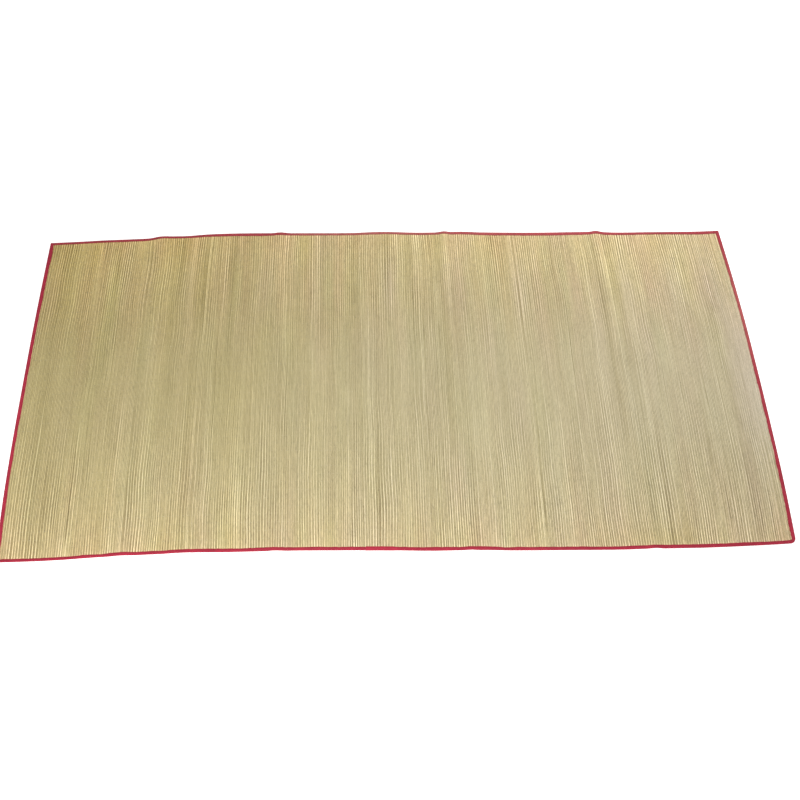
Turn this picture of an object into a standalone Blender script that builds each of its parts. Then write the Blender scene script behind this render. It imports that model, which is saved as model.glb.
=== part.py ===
"""A straw beach mat lying open on the floor. Metres, +Z up.

Straws lie side by side across the mat, so they run along Y, and the mat's length runs along X. A cotton tape is
folded over the rim and goes all round. The mat was stored folded, and four soft creases still stand up a little.
The floor is at z = 0, and the mat is centred on its own bounding box.

A place on the mat is first given as if it were cut square: along (from -0.9 to 0.9) and across (from -0.45 to
0.45, positive away from the viewer). lie_at then turns it into where that place lies on the floor."""

import math
from collections import namedtuple

import bmesh
import bpy

# The mat as cut
LENGTH = 1.800
WIDTH = 0.900
HALF_LENGTH = LENGTH / 2
HALF_WIDTH = WIDTH / 2

# Thicknesses, and the gap left between cloth and straw
PANEL_THICK = 0.0024
PRESSED_THICK = 0.0016  # the rim, squeezed by the tape's stitches
TAPE_THICK = 0.0006
GAP = 0.0003
LAID_HEIGHT = TAPE_THICK + GAP
RIM_HEIGHT = 2 * (TAPE_THICK + GAP) + PRESSED_THICK

# The tape
TAPE_FACE = 0.0082  # how far it reaches in over the straw, above and below
TAPE_ROUNDING = 0.0010  # where it turns over the rim
LAP_FROM = -0.078  # the free end, lapped over the start on the near side
LAP_TO = -0.006
LAP_STEP = 0.0012
TURN_RADIUS = 0.0100  # the one corner that the tape runs round without a mitre
TURN_STEPS = 4

# How the rim comes down from the tape's height to the floor
RIM_HELD = 0.0100
RIM_DOWN = 0.0240

# The long sides aren't straight: how far each lies from the middle line, along the mat.
Side = namedtuple("Side", "place far near")
SIDES = (
    Side(-0.900, 0.4410, -0.4530),
    Side(-0.820, 0.4440, -0.4525),
    Side(-0.760, 0.4470, -0.4510),
    Side(-0.690, 0.4490, -0.4475),
    Side(-0.640, 0.4510, -0.4455),
    Side(-0.585, 0.4565, -0.4440),
    Side(-0.540, 0.4570, -0.4430),
    Side(-0.480, 0.4615, -0.4410),
    Side(-0.390, 0.4630, -0.4425),
    Side(-0.250, 0.4605, -0.4430),
    Side(-0.110, 0.4580, -0.4460),
    Side(-0.020, 0.4600, -0.4485),
    Side(0.070, 0.4555, -0.4520),
    Side(0.130, 0.4550, -0.4525),
    Side(0.195, 0.4560, -0.4535),
    Side(0.250, 0.4525, -0.4560),
    Side(0.390, 0.4485, -0.4590),
    Side(0.500, 0.4480, -0.4610),
    Side(0.560, 0.4475, -0.4605),
    Side(0.620, 0.4440, -0.4610),
    Side(0.700, 0.4435, -0.4615),
    Side(0.830, 0.4425, -0.4590),
    Side(0.900, 0.4440, -0.4565),
)

# Nor are the short sides: how far each lies beyond half the length, across the mat.
End = namedtuple("End", "place left right")
ENDS = (
    End(-0.450, 0.0012, -0.0015),
    End(-0.300, 0.0076, 0.0040),
    End(-0.150, 0.0096, 0.0060),
    End(0.000, 0.0091, 0.0060),
    End(0.150, 0.0080, 0.0045),
    End(0.300, 0.0052, -0.0005),
    End(0.450, 0.0011, -0.0085),
)

# The creases: where each crosses the far and the near side, how wide it is each way, and how high it stands at
# the far side, in the middle and at the near side.
Crease = namedtuple("Crease", "far near reach far_rise mid_rise near_rise")
CREASES = (
    Crease(-0.609, -0.623, 0.034, 0.0036, 0.0024, 0.0026),
    Crease(-0.291, -0.281, 0.028, 0.0034, 0.0018, 0.0030),
    Crease(0.147, 0.160, 0.022, 0.0038, 0.0028, 0.0026),
    Crease(0.562, 0.577, 0.024, 0.0040, 0.0034, 0.0036),
)
CREASE_SHARES = (-1.0, -0.7, -0.4, -0.15, 0.0, 0.15, 0.4, 0.7, 1.0)  # of its reach, where the mesh has lines

LONGEST_CELL = 0.060
ROWS_ACROSS = 10  # cells across the mat inside its rim

STRAW_COLOUR = (0.54, 0.46, 0.28, 1.0)
TAPE_COLOUR = (0.48, 0.04, 0.08, 1.0)


def eased(share):
    """From 0 to 1, level at both ends."""
    share = min(max(share, 0.0), 1.0)
    return share * share * (3 - 2 * share)


def read_table(rows, name, place):
    """A column of a table at any place, on a smooth line through its rows."""
    last = len(rows) - 2
    i = next((k for k in range(last) if place <= rows[k + 1].place), last)
    before, start, end, after = (rows[min(max(k, 0), last + 1)] for k in range(i - 1, i + 3))
    span = end.place - start.place
    t = (place - start.place) / span

    def slope(a, b):
        return span * (getattr(b, name) - getattr(a, name)) / (b.place - a.place)

    y0, y1 = getattr(start, name), getattr(end, name)
    m0, m1 = slope(before, end), slope(start, after)
    square = 3 * (y1 - y0) - 2 * m0 - m1
    cube = 2 * (y0 - y1) + m0 + m1
    return y0 + t * (m0 + t * (square + t * cube))


def lie_at(along, across):
    """Where a place on the mat lies, seen from above."""
    end = "right" if along > 0 else "left"
    x = along * (1 + read_table(ENDS, end, across) / HALF_LENGTH)
    far, near = read_table(SIDES, "far", along), read_table(SIDES, "near", along)
    return x, near + (far - near) * (across / HALF_WIDTH + 1) / 2


def crease_rise(along, across):
    """How far the creases lift the mat off the floor."""
    share = across / HALF_WIDTH
    rise = 0.0
    for crease in CREASES:
        middle = crease.near + (crease.far - crease.near) * (share + 1) / 2
        off = abs(along - middle) / crease.reach
        if off >= 1:
            continue
        tilt = (crease.far_rise - crease.near_rise) / 2
        bend = (crease.far_rise + crease.near_rise) / 2 - crease.mid_rise
        top = crease.mid_rise + tilt * share + bend * share * share
        rise += top * (1 + math.cos(math.pi * off)) / 2
    return rise


def straw_heights(along, across):
    """The underside and the top of the straw."""
    from_rim = min(HALF_LENGTH - abs(along), HALF_WIDTH - abs(across))
    down = eased((from_rim - RIM_HELD) / (RIM_DOWN - RIM_HELD))
    under = crease_rise(along, across) + LAID_HEIGHT * (1 - down)
    return under, under + PRESSED_THICK + (PANEL_THICK - PRESSED_THICK) * down


def lines_along(rim):
    """Where the mesh has lines across the mat, each as its places on the far and the near side: at the rim, over
    each crease, at the ends of the tape's lap, and evenly between."""
    places = [inset - HALF_LENGTH for inset in rim] + [LAP_FROM, LAP_TO] + [HALF_LENGTH - inset for inset in rim]
    fixed = [(place, place) for place in places]
    for crease in CREASES:
        steps = [crease.reach * share for share in CREASE_SHARES]
        fixed += [(crease.far + step, crease.near + step) for step in steps]
    fixed.sort()
    lines = [fixed[0]]
    for far, near in fixed[1:]:
        from_far, from_near = lines[-1]
        steps = max(1, math.ceil(max(far - from_far, near - from_near) / LONGEST_CELL))
        for k in range(1, steps + 1):
            lines.append((from_far + (far - from_far) * k / steps, from_near + (near - from_near) * k / steps))
    return lines


def lines_across(rim):
    """Where the mesh has lines along the mat."""
    inner = HALF_WIDTH - rim[-1]
    middle = [inner * (2 * k / ROWS_ACROSS - 1) for k in range(1, ROWS_ACROSS)]
    return [inset - HALF_WIDTH for inset in rim] + middle + [HALF_WIDTH - inset for inset in reversed(rim)]


def add_object(name, points, faces, colour, roughness):
    """One closed object with its own plain material."""
    mesh = bpy.data.meshes.new(name)
    mesh.from_pydata(points, [], faces)
    made = bmesh.new()
    made.from_mesh(mesh)
    bmesh.ops.recalc_face_normals(made, faces=made.faces)
    made.to_mesh(mesh)
    made.free()
    mesh.shade_smooth()
    mesh.set_sharp_from_angle(angle=math.radians(35))

    material = bpy.data.materials.new(name)
    material.use_nodes = True
    shader = material.node_tree.nodes["Principled BSDF"]
    shader.inputs["Base Color"].default_value = colour
    shader.inputs["Roughness"].default_value = roughness
    shader.inputs["Metallic"].default_value = 0.0
    mesh.materials.append(material)

    made_object = bpy.data.objects.new(name, mesh)
    bpy.context.scene.collection.objects.link(made_object)
    return made_object


def make_straw_panel():
    """A grid of points for the top, one for the underside, and a wall round the rim."""
    edge = TAPE_THICK + 2 * GAP
    rim = [edge, RIM_HELD, (RIM_HELD + RIM_DOWN) / 2, RIM_DOWN]
    columns, rows = lines_along(rim), lines_across(rim)
    wide, deep = len(columns), len(rows)
    turn = TURN_RADIUS - (TURN_RADIUS - edge) * math.cos(math.pi / 4)

    points = []
    for top in (False, True):
        for j, across in enumerate(rows):
            for i, (far, near) in enumerate(columns):
                place = (near + (far - near) * (across / HALF_WIDTH + 1) / 2, across)
                if i == wide - 1 and j == 0:  # the corner that the tape runs round
                    place = (HALF_LENGTH - turn, turn - HALF_WIDTH)
                points.append((*lie_at(*place), straw_heights(*place)[top]))

    def at(i, j, top):
        return top * wide * deep + j * wide + i

    faces = []
    for j in range(deep - 1):
        for i in range(wide - 1):
            for top in (0, 1):
                faces.append((at(i, j, top), at(i + 1, j, top), at(i + 1, j + 1, top), at(i, j + 1, top)))
    round_the_rim = (
        [(i, 0) for i in range(wide)]
        + [(wide - 1, j) for j in range(1, deep)]
        + [(i, deep - 1) for i in range(wide - 2, -1, -1)]
        + [(0, j) for j in range(deep - 2, 0, -1)]
    )
    for (i, j), (ni, nj) in zip(round_the_rim, round_the_rim[1:] + round_the_rim[:1]):
        faces.append((at(i, j, 0), at(ni, nj, 0), at(ni, nj, 1), at(i, j, 1)))
    return add_object("straw_panel", points, faces, STRAW_COLOUR, 0.65)


def tape_section(lap):
    """The folded tape cut across, as (how far in from the outer edge, height): under the rim, round the outside,
    over the top, and back along the inside."""
    top = RIM_HEIGHT + LAP_STEP * lap
    out = -LAP_STEP * lap / 2
    bend = TAPE_ROUNDING
    return (
        (TAPE_FACE, 0.0),
        (bend, 0.0),
        (bend / 5 + out, 0.6 * bend),
        (out, top / 2),
        (bend / 5 + out, top - 0.6 * bend),
        (bend, top),
        (TAPE_FACE, top),
        (TAPE_FACE, RIM_HEIGHT - TAPE_THICK),
        (TAPE_THICK + GAP, RIM_HEIGHT - TAPE_THICK),
        (TAPE_THICK + GAP, TAPE_THICK),
        (TAPE_FACE, TAPE_THICK),
    )


def tape_stations():
    """Where the tape is cut into sections, going round the rim: (place on the outer edge, way in, lapped or not)."""
    columns = lines_along([TURN_RADIUS, RIM_DOWN])
    rows = lines_across([TURN_RADIUS, RIM_DOWN])
    near_lines = [(near, LAP_FROM < near <= LAP_TO) for _, near in columns]
    near_lines = sorted(near_lines + [(LAP_FROM + LAP_STEP, True), (LAP_TO + LAP_STEP, False)])

    stations = [((-HALF_LENGTH, -HALF_WIDTH), (1, 1), 0)]
    stations += [((along, -HALF_WIDTH), (0, 1), lap) for along, lap in near_lines[:-1]]
    for k in range(TURN_STEPS + 1):
        angle = math.pi / 2 * k / TURN_STEPS
        out_along, out_across = math.sin(angle), -math.cos(angle)
        place = (
            HALF_LENGTH - TURN_RADIUS * (1 - out_along),
            TURN_RADIUS * (1 + out_across) - HALF_WIDTH,
        )
        stations.append((place, (-out_along, -out_across), 0))
    stations += [((HALF_LENGTH, across), (-1, 0), 0) for across in rows[1:]]
    stations.append(((HALF_LENGTH, HALF_WIDTH), (-1, -1), 0))
    stations += [((far, HALF_WIDTH), (0, -1), 0) for far, _ in reversed(columns)]
    stations.append(((-HALF_LENGTH, HALF_WIDTH), (1, -1), 0))
    stations += [((-HALF_LENGTH, across), (1, 0), 0) for across in reversed(rows)]
    return stations


def make_edge_binding():
    """The folded tape as one closed ring of sections."""
    stations = tape_stations()
    points = []
    for (along, across), (in_along, in_across), lap in stations:
        for inset, height in tape_section(lap):
            place = (along + inset * in_along, across + inset * in_across)
            points.append((*lie_at(*place), height + crease_rise(*place)))
    count = len(tape_section(0))
    faces = []
    for k in range(len(stations)):
        this, following = k * count, (k + 1) % len(stations) * count
        for n in range(count):
            m = (n + 1) % count
            faces.append((this + n, following + n, following + m, this + m))
    return add_object("edge_binding", points, faces, TAPE_COLOUR, 0.8)


def centre_on_box(pieces):
    """The mat's outline isn't symmetrical, so it is moved to stand centred on its own bounding box."""
    for axis in (0, 1):
        places = [v.co[axis] for piece in pieces for v in piece.data.vertices]
        middle = (min(places) + max(places)) / 2
        for piece in pieces:
            for v in piece.data.vertices:
                v.co[axis] -= middle


def main():
    for old in list(bpy.data.objects):
        bpy.data.objects.remove(old, do_unlink=True)
    centre_on_box([make_straw_panel(), make_edge_binding()])


main()
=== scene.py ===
"""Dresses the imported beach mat: its straws one by one, the warp threads that hold them, the sewn cloth tape
with its lap and stitches, and the photograph's camera over a white floor in soft studio light.

Everything is in metres, in the part's own frame. A place on the mat is given as in the part's source, as if
the mat were cut square: along from -0.9 to 0.9, and across from -0.45 to 0.45, positive away from the
viewer. lie_at turns it into where that place lies on the floor."""

import math
from collections import namedtuple

import bpy
import numpy as np
from mathutils import Matrix, Vector


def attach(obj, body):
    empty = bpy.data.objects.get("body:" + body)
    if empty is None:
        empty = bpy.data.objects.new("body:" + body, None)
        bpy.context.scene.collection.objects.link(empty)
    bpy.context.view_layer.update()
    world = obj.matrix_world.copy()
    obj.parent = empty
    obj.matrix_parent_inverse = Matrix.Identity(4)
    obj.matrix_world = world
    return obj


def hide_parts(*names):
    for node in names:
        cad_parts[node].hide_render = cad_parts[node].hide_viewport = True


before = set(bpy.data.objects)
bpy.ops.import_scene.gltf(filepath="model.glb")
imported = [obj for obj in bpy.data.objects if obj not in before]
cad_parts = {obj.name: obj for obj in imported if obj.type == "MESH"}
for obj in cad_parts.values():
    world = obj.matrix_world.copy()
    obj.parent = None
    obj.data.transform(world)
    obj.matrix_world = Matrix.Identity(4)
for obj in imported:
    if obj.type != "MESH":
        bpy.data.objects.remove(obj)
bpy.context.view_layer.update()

MM = 0.001
CM = 0.01
UP = np.array((0.0, 0.0, 1.0))

# The mat as cut, repeated from the part
LENGTH = 1.800
WIDTH = 0.900
HALF_LENGTH = LENGTH / 2
HALF_WIDTH = WIDTH / 2
PANEL_THICK = 0.0024
PRESSED_THICK = 0.0016  # the rim, squeezed by the tape's stitches
TAPE_THICK = 0.0006
GAP = 0.0003  # between cloth and straw
LAID_HEIGHT = TAPE_THICK + GAP
RIM_HEIGHT = 2 * LAID_HEIGHT + PRESSED_THICK
TAPE_FACE = 0.0082  # how far the tape reaches in over the straw
LAP_FROM = -0.078  # the free end, lapped over the start on the near side
LAP_TO = -0.006
TURN_RADIUS = 0.0130  # the one corner without a mitre, a little rounder here than in the part
RIM_HELD = 0.0100  # the straw keeps the tape's height this far in from the rim
RIM_DOWN = 0.0240  # and has come down to the floor this far in
STRAW_EDGE = TAPE_THICK + 2 * GAP  # where the straw ends, inside the folded tape

# The long sides aren't straight: how far each lies from the middle line, along the mat.
Side = namedtuple("Side", "place far near")
SIDES = (
    Side(-0.900, 0.4410, -0.4530),
    Side(-0.820, 0.4440, -0.4525),
    Side(-0.760, 0.4470, -0.4510),
    Side(-0.690, 0.4490, -0.4475),
    Side(-0.640, 0.4510, -0.4455),
    Side(-0.585, 0.4565, -0.4440),
    Side(-0.540, 0.4570, -0.4430),
    Side(-0.480, 0.4615, -0.4410),
    Side(-0.390, 0.4630, -0.4425),
    Side(-0.250, 0.4605, -0.4430),
    Side(-0.110, 0.4580, -0.4460),
    Side(-0.020, 0.4600, -0.4485),
    Side(0.070, 0.4555, -0.4520),
    Side(0.130, 0.4550, -0.4525),
    Side(0.195, 0.4560, -0.4535),
    Side(0.250, 0.4525, -0.4560),
    Side(0.390, 0.4485, -0.4590),
    Side(0.500, 0.4480, -0.4610),
    Side(0.560, 0.4475, -0.4605),
    Side(0.620, 0.4440, -0.4610),
    Side(0.700, 0.4435, -0.4615),
    Side(0.830, 0.4425, -0.4590),
    Side(0.900, 0.4440, -0.4565),
)

# Nor are the short sides: how far each lies beyond half the length, across the mat.
End = namedtuple("End", "place left right")
ENDS = (
    End(-0.450, 0.0012, -0.0015),
    End(-0.300, 0.0076, 0.0040),
    End(-0.150, 0.0096, 0.0060),
    End(0.000, 0.0091, 0.0060),
    End(0.150, 0.0080, 0.0045),
    End(0.300, 0.0052, -0.0005),
    End(0.450, 0.0011, -0.0085),
)

# The creases: where each crosses the far and the near side, how wide it is each way, and how high it stands
# at the far side, in the middle and at the near side.
Crease = namedtuple("Crease", "far near reach far_rise mid_rise near_rise")
CREASES = (
    Crease(-0.609, -0.623, 0.034, 0.0036, 0.0024, 0.0026),
    Crease(-0.291, -0.281, 0.028, 0.0034, 0.0018, 0.0030),
    Crease(0.147, 0.160, 0.022, 0.0038, 0.0028, 0.0026),
    Crease(0.562, 0.577, 0.024, 0.0040, 0.0034, 0.0036),
)
CREASE_STEP = 2 * MM  # the slope of a crease is taken over this much each way

# The straws, their sizes against the usual straw's
STRAW_PITCH = 0.00285
STRAW_COUNT = 2 * round((LENGTH - 2 * STRAW_EDGE) / STRAW_PITCH / 2)  # they are held in pairs
STRAW_LAP = 1.03  # each is this much wider than its place, so that no light comes through
WIDTH_SPREAD = 0.15
WIDTH_DRIFT = 0.04  # how much wider or narrower they are in some groups than in others
ROOT_WIDTH = 0.08  # how much wider a straw is at its root
WIDTH_LIMITS = (0.6, 1.5)
HEIGHT_SPREAD = 0.07
HEIGHT_DRIFT = 0.04  # along each straw
HEIGHT_LIMITS = (0.80, 1.15)
LEVEL_DRIFT = 0.05 * MM  # how far its middle rises and sinks along it
STRAW_DRIFT = 1.0 * MM  # how far it strays to the side along its length, together with those around it
DRIFT_FROM = 60 * MM  # it strays in full from this far inside the mat's ends
RIM_ROWS = (STRAW_EDGE, 0.0080, 0.0160)  # in from the long sides, where a straw has a row of points
ROW_GAP = 0.1 * MM  # between those rows where the round corner cuts a straw short
SQUARE_SLACK = 1e-12  # keeps rounding from asking for the root of less than nothing

# A straw cut across: how far each corner lies to the side and up, against half its width and half its
# height, and how light it is. Its sides and underside are darker: painted shade in the grooves between
# straws and beneath them.
Corner = namedtuple("Corner", "aside up light")
STRAW_SECTION = (
    Corner(-1.00, 0.00, 0.72),
    Corner(-0.62, 0.72, 1.00),
    Corner(0.00, 1.00, 1.00),
    Corner(0.62, 0.72, 1.00),
    Corner(1.00, 0.00, 0.72),
    Corner(0.55, -0.85, 0.90),
    Corner(-0.55, -0.85, 0.90),
)

# The warp threads, and the thin ground inside the straw, dark as painted shade in the gaps between the straws
WARP_STEP = 0.0200
WARPS_EACH_WAY = 21
WARP_RADIUS = 0.25 * MM
WARP_SIDES = 3
WARP_REST = 0.55  # how far a thread's middle stands off a straw, against its radius
WARP_WANDER = 0.35 * MM  # how far a thread strays to the side
WARP_SPREAD = 0.08  # in lightness, along each thread
WARP_SPAN = slice(3, -4)  # a thread's points, but for its ends, which the tape hides
WEAVE_LIFT = 0.05 * MM  # how far a pair moves up or down to let a thread pass
GROUND_INSET = STRAW_EDGE + 0.5 * MM
GROUND_THICK = 0.3 * MM
GROUND_LINES_ALONG = 221
GROUND_LINES_ACROSS = 47
GROUND_CORNER = 4.2 * MM  # how far in the ground stays at the round corner

# Colours, in linear light
BODY = (0.520, 0.450, 0.262)
THREAD_COLOUR = (0.58, 0.53, 0.38)
# painted shade: the dark ground seen between the straws
GROUND_SHADE = (0.20, 0.16, 0.08)
TAPE_COLOUR = (0.330, 0.024, 0.046)
FADED_AND_SHEEN_TAPE = (0.46, 0.19, 0.15)
STITCH_COLOUR = (0.360, 0.028, 0.052)

# How the straw's colour turns along it, from the near end to the far end, against BODY, and how much straws
# differ in hue there
Turn = namedtuple("Turn", "place light green blue hues")
TURNS = (
    Turn(-0.450, 1.08, 0.945, 0.90, 1.6),
    Turn(-0.380, 1.03, 0.975, 0.96, 1.6),
    Turn(-0.220, 1.00, 1.000, 1.00, 0.9),
    Turn(0.050, 1.00, 1.000, 1.00, 1.0),
    Turn(0.220, 1.04, 0.965, 0.92, 2.2),
    Turn(0.370, 1.17, 0.945, 0.86, 2.6),
    Turn(0.450, 1.26, 0.905, 0.79, 2.6),
)

# The bands and lines of lighter or darker straw that stand out in the photograph, and by how much at the
# far end, the middle and the near end
Streak = namedtuple("Streak", "place reach far middle near")
STREAKS = (
    Streak(-0.872, 0.009, 0.00, 0.07, 0.09),
    Streak(-0.846, 0.012, -0.06, -0.07, 0.00),
    Streak(-0.808, 0.009, 0.06, 0.05, -0.11),
    Streak(-0.760, 0.008, 0.10, 0.00, 0.05),
    Streak(-0.711, 0.006, -0.09, -0.03, 0.00),
    Streak(-0.648, 0.013, 0.11, 0.09, 0.07),
    Streak(-0.590, 0.018, 0.10, 0.07, 0.05),
    Streak(-0.544, 0.012, -0.10, -0.05, 0.00),
    Streak(-0.517, 0.008, 0.13, 0.00, -0.02),
    Streak(-0.494, 0.008, -0.04, -0.05, -0.08),
    Streak(-0.446, 0.007, -0.04, 0.00, 0.07),
    Streak(-0.434, 0.006, 0.09, -0.06, -0.05),
    Streak(-0.410, 0.008, -0.15, -0.07, -0.03),
    Streak(-0.369, 0.009, -0.06, 0.02, 0.11),
    Streak(-0.275, 0.008, 0.14, 0.00, 0.00),
    Streak(-0.194, 0.009, 0.11, 0.06, 0.08),
    Streak(-0.175, 0.009, -0.07, 0.05, 0.04),
    Streak(-0.122, 0.007, 0.12, 0.00, 0.03),
    Streak(-0.098, 0.010, -0.05, -0.06, -0.05),
    Streak(-0.060, 0.010, 0.05, 0.07, 0.08),
    Streak(-0.042, 0.006, -0.07, -0.09, -0.12),
    Streak(-0.010, 0.007, -0.11, 0.00, 0.00),
    Streak(0.020, 0.010, 0.07, 0.05, 0.08),
    Streak(0.053, 0.007, -0.10, -0.02, 0.02),
    Streak(0.075, 0.008, 0.10, 0.00, -0.11),
    # painted shade and light of the third crease: darker on its left flank, lighter on its crest
    Streak(0.129, 0.006, -0.11, -0.04, 0.07),
    Streak(0.139, 0.006, 0.00, -0.07, -0.06),
    Streak(0.148, 0.007, 0.12, 0.05, 0.03),
    Streak(0.172, 0.009, 0.00, -0.05, -0.07),
    Streak(0.189, 0.008, 0.00, 0.04, 0.08),
    Streak(0.218, 0.009, 0.00, 0.06, 0.10),
    Streak(0.250, 0.009, 0.04, 0.08, 0.08),
    Streak(0.263, 0.009, -0.09, -0.06, 0.00),
    Streak(0.310, 0.007, 0.00, -0.03, -0.09),
    Streak(0.321, 0.007, 0.09, 0.04, 0.06),
    Streak(0.392, 0.009, 0.08, 0.02, 0.09),
    Streak(0.430, 0.008, -0.11, 0.00, 0.00),
    Streak(0.517, 0.014, 0.07, 0.07, 0.04),
    # painted shade and light of the fourth crease: darker on its left flank, lighter on its crest
    Streak(0.545, 0.008, -0.16, -0.12, -0.05),
    Streak(0.566, 0.008, 0.15, 0.04, 0.06),
    Streak(0.593, 0.007, -0.06, -0.10, -0.03),
    Streak(0.609, 0.010, 0.08, 0.07, 0.04),
    Streak(0.621, 0.006, 0.00, 0.00, -0.11),
    Streak(0.694, 0.007, 0.00, 0.04, 0.11),
    Streak(0.822, 0.013, -0.06, -0.06, -0.08),
    Streak(0.874, 0.014, 0.05, 0.08, 0.06),
)
STREAK_SPREADS = 1.6  # a streak reaches this many spreads of its bell curve
STREAK_SPEED = 1.3  # it has its ends' strength this much sooner than its ends

# Broad patches of paler or darker straw, and by how much more in blue: partly painted light and partly the
# straw's own tone. The first, at the right end, is a painted sheen.
Patch = namedtuple("Patch", "along across reach_along reach_across light blue")
PATCHES = (
    Patch(0.880, 0.030, 0.040, 0.200, 0.06, 0.09),
    Patch(0.700, 0.300, 0.100, 0.120, 0.05, 0.00),
    Patch(-0.740, 0.330, 0.060, 0.100, 0.06, 0.02),
    Patch(-0.890, 0.440, 0.050, 0.035, -0.16, -0.04),
    Patch(0.600, -0.430, 0.070, 0.025, -0.06, -0.08),
    Patch(0.600, 0.370, 0.280, 0.060, 0.01, -0.06),
    Patch(0.200, 0.400, 0.080, 0.050, 0.05, 0.00),
    Patch(-0.400, 0.000, 0.080, 0.150, -0.01, -0.06),
    Patch(-0.800, -0.430, 0.080, 0.040, 0.05, 0.03),
    Patch(0.740, -0.250, 0.160, 0.100, -0.04, -0.03),
)

# Straws lie head to tail, so that at the mat's sides every second one is lighter.
ALTERNATE = 0.25
ALTERNATE_RISE = 1.10  # how fast that sets in from the middle
ALTERNATE_EASE = 0.23  # and how much of it is lost again at the sides
ALTERNATE_SPREAD = 0.4  # how much pairs differ in it
TURNED_PAIRS = 0.02  # the share of pairs laid the other way round

# How straws differ in tone: between how narrow and how wide a group of neighbours, how often along them,
# and by how much in the middle and at the ends
Grain = namedtuple("Grain", "narrow wide knots middle ends")
GRAINS = (
    Grain(0.1, 1.0, 3, 0.032, 0.036),
    Grain(0.1, 1.0, 10, 0.032, 0.042),
    Grain(0.1, 1.0, 34, 0.022, 0.032),
    Grain(1.2, 6.0, 9, 0.012, 0.026),
    Grain(3.0, 12.0, 30, 0.010, 0.012),
)
GRAIN_ENDS = 0.85  # from this share of the way to its ends on, a straw has what the table gives for them
UNEVEN = 0.45  # some straws stand out from their neighbours more than others
TONE_LIMITS = (-0.48, 0.55)
TAPE_EDGE_REACH = 0.0040  # the straw is a little paler where it goes under the tape
TAPE_EDGE_LIGHT = 0.12

# How much greener and bluer the straw gets, against red: with its tone, as a power, by two hues that groups
# of straws differ in, where it goes under the tape's inner edge, along the mat, towards the left end, there
# on the far side and with the way across, and towards the near right corner
Shift = namedtuple("Shift", "tone hue warmth rubbed along left left_far left_across right_near")
SHIFTS = {
    "green": Shift(0.07, 0.008, 0.000, -0.02, 0.00, -0.04, -0.03, 0.00, -0.035),
    # the blue rise along the mat, towards the right end, is painted cool light from the right
    "blue": Shift(0.36, 0.003, 0.012, 0.00, 0.13, -0.10, 0.00, -0.07, -0.150),
}
NEAR_FROM = 0.35  # what belongs to the near side starts at this share of the way to it

# Noise on a surface: its scale each way, its detail and its roughness. On straw, x goes across in
# millimetres, y along in centimetres and z from straw to straw. On tape, x goes along and y across, in
# millimetres. On thread, all three are metres.
Noise = namedtuple("Noise", "x y z detail roughness")
STRAW_STREAKS = Noise(4.000, 0.25, 1.0, 3.0, 0.65)
STRAW_FLECKS = Noise(1.100, 1.20, 1.0, 2.0, 0.50)
STRAW_BLOTCHES = Noise(0.300, 0.55, 1.0, 2.0, 0.60)
TAPE_SLUBS = Noise(0.250, 2.20, 1.0, 2.0, 0.60)
TAPE_FADING = Noise(0.045, 0.20, 1.0, 2.0, 0.50)
THREAD_FUZZ = Noise(1800.0, 1800.0, 1800.0, 2.0, 0.60)
GRAIN_STEP = 1.7  # in z from straw to straw, so that each has a grain of its own
WEAVE_PITCH = 0.9  # of the tape's own threads, in millimetres

# What a value between two levels turns into: a lightness, a strength or a roughness
Ramp = namedtuple("Ramp", "low high at_low at_high")
STREAKS_LIGHT = Ramp(0.25, 0.75, 0.78, 1.18)
FLECKS_LIGHT = Ramp(0.56, 0.78, 1.00, 0.66)
BLOTCHES_LIGHT = Ramp(0.30, 0.70, 0.93, 1.07)
SPOTS_STRENGTH = Ramp(8.0, 40.0, 0.90, 1.70)  # by centimetres from the straw's middle
STRAW_ROUGHNESS = Ramp(0.30, 0.70, 0.60, 0.46)
FUZZ_LIGHT = Ramp(0.30, 0.70, 0.85, 1.10)
FUZZ_ROUGHNESS = Ramp(0.00, 1.00, 0.85, 0.95)
WEAVE_LIGHT = Ramp(-1.00, 1.00, 0.90, 1.08)
SLUBS_LIGHT = Ramp(0.30, 0.70, 0.90, 1.10)
FADING_LIGHT = Ramp(0.30, 0.70, 0.88, 1.12)
TAPE_ROUGHNESS = Ramp(0.00, 1.00, 0.78, 0.94)

# How high each surface's own relief is, and what part of it is the straw's flecks or the tape's weave
STRAW_RELIEF = 0.12 * MM
THREAD_RELIEF = 0.05 * MM
TAPE_RELIEF = 0.10 * MM
FLECKS_PART = 0.3
WEAVE_PART = 0.5

# The tape
RING_STEP = 1.75 * MM
CORNER_STEPS = 10
MITRE_REACH = 0.030
RIB_LIFT = 0.07 * MM  # how far every second straw lifts it
SEAM_DIP = 0.16 * MM  # how deep the seam draws it in, and once more at each needle hole
HOLE_SINK = 0.05 * MM  # how far its face sinks beside a hole
Wave = namedtuple("Wave", "knots size")
FACE_WAVES = (Wave(190, 0.30 * MM), Wave(900, 0.16 * MM))  # how unevenly wide it is, round the whole rim
LIFT_WAVE = Wave(420, 0.10 * MM)  # and how unevenly it lies
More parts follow.
